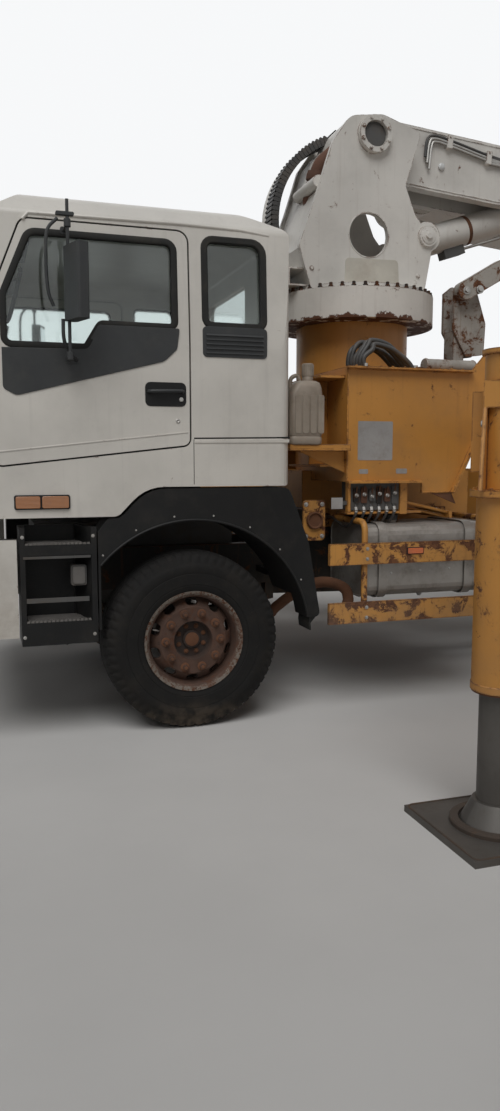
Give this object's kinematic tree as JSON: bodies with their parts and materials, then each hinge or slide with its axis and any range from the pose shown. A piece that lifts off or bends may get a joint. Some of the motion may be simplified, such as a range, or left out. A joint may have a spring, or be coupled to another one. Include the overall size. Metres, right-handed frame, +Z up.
{
  "type": "truck-mounted concrete pump",
  "caption": "Cab-over truck carrying a concrete pump, with a folding delivery boom on a slewing turret, a rear hopper and outriggers set down on foot plates.",
  "frame": {"origin": "on the ground, in the middle of the machine's outer box", "axes": "+X forward, +Y to the left, +Z up"},
  "size_m": [11.1653, 6.44, 4.055],
  "materials": {
    "white_paint": "satin",
    "yellow_paint": "satin",
    "black_plastic": "matte",
    "dark_steel": "satin",
    "bare_steel": "satin",
    "aluminium": "satin",
    "rusty_rim": "matte",
    "tyre": "matte",
    "glass": "polished",
    "cast_grey": "matte",
    "seat_fabric": "matte",
    "lamp": "gloss",
    "white_plastic": "satin",
    "mirror_black": "satin"
  },
  "bodies": {
    "root": {"chassis_frame": "dark_steel", "axles_and_springs": "dark_steel", "engine": "cast_grey", "fuel_tank": "aluminium", "side_guards": "yellow_paint", "pedestal": "yellow_paint", "slewing_ring": "white_paint", "outrigger_housings": "yellow_paint", "front_mudguards": "black_plastic", "cab_steps": "black_plastic", "front_bumper": "white_paint", "lamps": "lamp", "pump_unit": "yellow_paint", "hopper": "yellow_paint", "deck": "yellow_paint", "boom_rest": "dark_steel", "tanks": "yellow_paint", "rear_mudguards": "black_plastic", "valve_block": "dark_steel", "jerrycan": "white_plastic", "base_pipe": "rusty_rim"},
    "cab": {"cab_shell": "white_paint", "cab_glass": "glass", "seats": "seat_fabric", "dashboard": "black_plastic"},
    "door_left": {"door_left": "white_paint", "door_glass_left": "glass", "mirror_left": "mirror_black"},
    "door_right": {"door_right": "white_paint", "door_glass_right": "glass", "mirror_right": "mirror_black"},
    "knuckle_left": {"knuckle_left": "dark_steel"},
    "knuckle_right": {"knuckle_right": "dark_steel"},
    "wheel_front_left": {"tyre_front_left": "tyre", "rim_front_left": "rusty_rim"},
    "wheel_front_right": {"tyre_front_right": "tyre", "rim_front_right": "rusty_rim"},
    "wheels_rear_1_left": {"wheels_rear_1_left": "tyre"},
    "wheels_rear_1_right": {"wheels_rear_1_right": "tyre"},
    "wheels_rear_2_left": {"wheels_rear_2_left": "tyre"},
    "wheels_rear_2_right": {"wheels_rear_2_right": "tyre"},
    "hopper_grille": {"hopper_grille": "dark_steel"},
    "turret": {"turret": "white_paint"},
    "lift_barrel": {"lift_barrel": "white_paint"},
    "lift_rod": {"lift_rod": "bare_steel"},
    "arm_1": {"boom_arm_1": "white_paint"},
    "arm_2": {"boom_arm_2": "white_paint"},
    "arm_3": {"boom_arm_3": "white_paint"},
    "arm_4": {"boom_arm_4": "white_paint"},
    "fold_rod_2": {"fold_rod_2": "bare_steel"},
    "fold_rod_3": {"fold_rod_3": "bare_steel"},
    "fold_rod_4": {"fold_rod_4": "bare_steel"},
    "outrigger_front_left": {"outrigger_front_left": "yellow_paint"},
    "outrigger_front_right": {"outrigger_front_right": "yellow_paint"},
    "outrigger_rear_left": {"outrigger_rear_left": "yellow_paint"},
    "outrigger_rear_right": {"outrigger_rear_right": "yellow_paint"},
    "jack_front_left": {"jack_front_left": "bare_steel"},
    "jack_front_right": {"jack_front_right": "bare_steel"},
    "jack_rear_left": {"jack_rear_left": "bare_steel"},
    "jack_rear_right": {"jack_rear_right": "bare_steel"}
  },
  "joints": [
    {"name": "cab_tilt", "type": "hinge", "parent": "root", "child": "cab", "pos_m": [5.402, 0, 1.1], "axis": [0, 1, 0], "range_deg": [0, 45]},
    {"name": "door_left_hinge", "type": "hinge", "parent": "cab", "child": "door_left", "pos_m": [5.294, 1.19, 2], "axis": [0, 0, -1], "range_deg": [0, 70]},
    {"name": "door_right_hinge", "type": "hinge", "parent": "cab", "child": "door_right", "pos_m": [5.294, -1.19, 2], "axis": [0, 0, 1], "range_deg": [0, 70]},
    {"name": "steer_left", "type": "hinge", "parent": "root", "child": "knuckle_left", "pos_m": [4.182, 0.83, 0.535], "axis": [0, 0, 1], "range_deg": [-35, 35]},
    {"name": "wheel_front_left_spin", "type": "hinge", "parent": "knuckle_left", "child": "wheel_front_left", "pos_m": [4.182, 1, 0.535], "axis": [0, 1, 0], "continuous": true},
    {"name": "steer_right", "type": "hinge", "parent": "root", "child": "knuckle_right", "pos_m": [4.182, -0.83, 0.535], "axis": [0, 0, 1], "range_deg": [-35, 35]},
    {"name": "wheel_front_right_spin", "type": "hinge", "parent": "knuckle_right", "child": "wheel_front_right", "pos_m": [4.182, -1, 0.535], "axis": [0, 1, 0], "continuous": true},
    {"name": "wheels_rear_1_left_spin", "type": "hinge", "parent": "root", "child": "wheels_rear_1_left", "pos_m": [-1.068, 0.9, 0.535], "axis": [0, 1, 0], "continuous": true},
    {"name": "wheels_rear_1_right_spin", "type": "hinge", "parent": "root", "child": "wheels_rear_1_right", "pos_m": [-1.068, -0.9, 0.535], "axis": [0, 1, 0], "continuous": true},
    {"name": "wheels_rear_2_left_spin", "type": "hinge", "parent": "root", "child": "wheels_rear_2_left", "pos_m": [-2.418, 0.9, 0.535], "axis": [0, 1, 0], "continuous": true},
    {"name": "wheels_rear_2_right_spin", "type": "hinge", "parent": "root", "child": "wheels_rear_2_right", "pos_m": [-2.418, -0.9, 0.535], "axis": [0, 1, 0], "continuous": true},
    {"name": "hopper_grille_hinge", "type": "hinge", "parent": "root", "child": "hopper_grille", "pos_m": [-4.648, 0, 1.4], "axis": [0, 1, 0], "range_deg": [0, 100]},
    {"name": "slew", "type": "hinge", "parent": "root", "child": "turret", "pos_m": [2.642, 0, 2.8], "axis": [0, 0, 1], "range_deg": [-185, 185]},
    {"name": "lift_arm_1", "type": "hinge", "parent": "turret", "child": "arm_1", "pos_m": [2.642, 0, 3.84], "axis": [0, 1, 0], "range_deg": [0, 85]},
    {"name": "lift_barrel_swing", "type": "hinge", "parent": "turret", "child": "lift_barrel", "pos_m": [2.212, 0, 3.212], "axis": [0, 1, 0], "range_deg": [0, 83]},
    {"name": "lift_rod_slide", "type": "slide", "parent": "lift_barrel", "child": "lift_rod", "axis": [-0.9504, 0, 0.3109], "range_m": [0, 1.2]},
    {"name": "fold_arm_2", "type": "hinge", "parent": "arm_1", "child": "arm_2", "pos_m": [-5.33334, 0, 3.21233], "axis": [0, -1, 0], "range_deg": [0, 180]},
    {"name": "fold_arm_3", "type": "hinge", "parent": "arm_2", "child": "arm_3", "pos_m": [1.84447, 0, 3.77723], "axis": [0, 1, 0], "range_deg": [0, 180]},
    {"name": "fold_arm_4", "type": "hinge", "parent": "arm_3", "child": "arm_4", "pos_m": [-5.33334, 0, 3.21233], "axis": [0, -1, 0], "range_deg": [0, 235]},
    {"name": "fold_rod_2_slide", "type": "slide", "parent": "arm_1", "child": "fold_rod_2", "axis": [0.9969, 0, 0.0785], "range_m": [0, 0.46]},
    {"name": "fold_rod_3_slide", "type": "slide", "parent": "arm_2", "child": "fold_rod_3", "axis": [-0.9969, 0, -0.0785], "range_m": [0, 0.46]},
    {"name": "fold_rod_4_slide", "type": "slide", "parent": "arm_3", "child": "fold_rod_4", "axis": [0.9969, 0, 0.0785], "range_m": [0, 0.41]},
    {"name": "outrigger_front_left_slide", "type": "slide", "parent": "root", "child": "outrigger_front_left", "axis": [0.6374, 0.7705, 0], "range_m": [-2.36, 0]},
    {"name": "jack_front_left_slide", "type": "slide", "parent": "outrigger_front_left", "child": "jack_front_left", "axis": [0, 0, -1], "range_m": [-0.4, 0.25]},
    {"name": "outrigger_front_right_slide", "type": "slide", "parent": "root", "child": "outrigger_front_right", "axis": [0.6374, -0.7705, 0], "range_m": [-2.36, 0]},
    {"name": "jack_front_right_slide", "type": "slide", "parent": "outrigger_front_right", "child": "jack_front_right", "axis": [0, 0, -1], "range_m": [-0.4, 0.25]},
    {"name": "outrigger_rear_left_swing", "type": "hinge", "parent": "root", "child": "outrigger_rear_left", "pos_m": [-3.268, 0.92, 0.9], "axis": [0, 0, -1], "range_deg": [-60, 30]},
    {"name": "jack_rear_left_slide", "type": "slide", "parent": "outrigger_rear_left", "child": "jack_rear_left", "axis": [0, 0, -1], "range_m": [-0.4, 0.25]},
    {"name": "outrigger_rear_right_swing", "type": "hinge", "parent": "root", "child": "outrigger_rear_right", "pos_m": [-3.268, -0.92, 0.9], "axis": [0, 0, 1], "range_deg": [-60, 30]},
    {"name": "jack_rear_right_slide", "type": "slide", "parent": "outrigger_rear_right", "child": "jack_rear_right", "axis": [0, 0, -1], "range_m": [-0.4, 0.25]}
  ],
  "couplings": [
    {"joint": "steer_right", "follows": "steer_left", "ratio": 1},
    {"joint": "lift_barrel_swing", "follows": "lift_arm_1", "ratio": 0.87707},
    {"joint": "lift_rod_slide", "follows": "lift_arm_1", "m_per_rad": 0.64991},
    {"joint": "fold_rod_2_slide", "follows": "fold_arm_2", "m_per_rad": 0.14324},
    {"joint": "fold_rod_3_slide", "follows": "fold_arm_3", "m_per_rad": 0.14324},
    {"joint": "fold_rod_4_slide", "follows": "fold_arm_4", "m_per_rad": 0.09752}
  ]
}
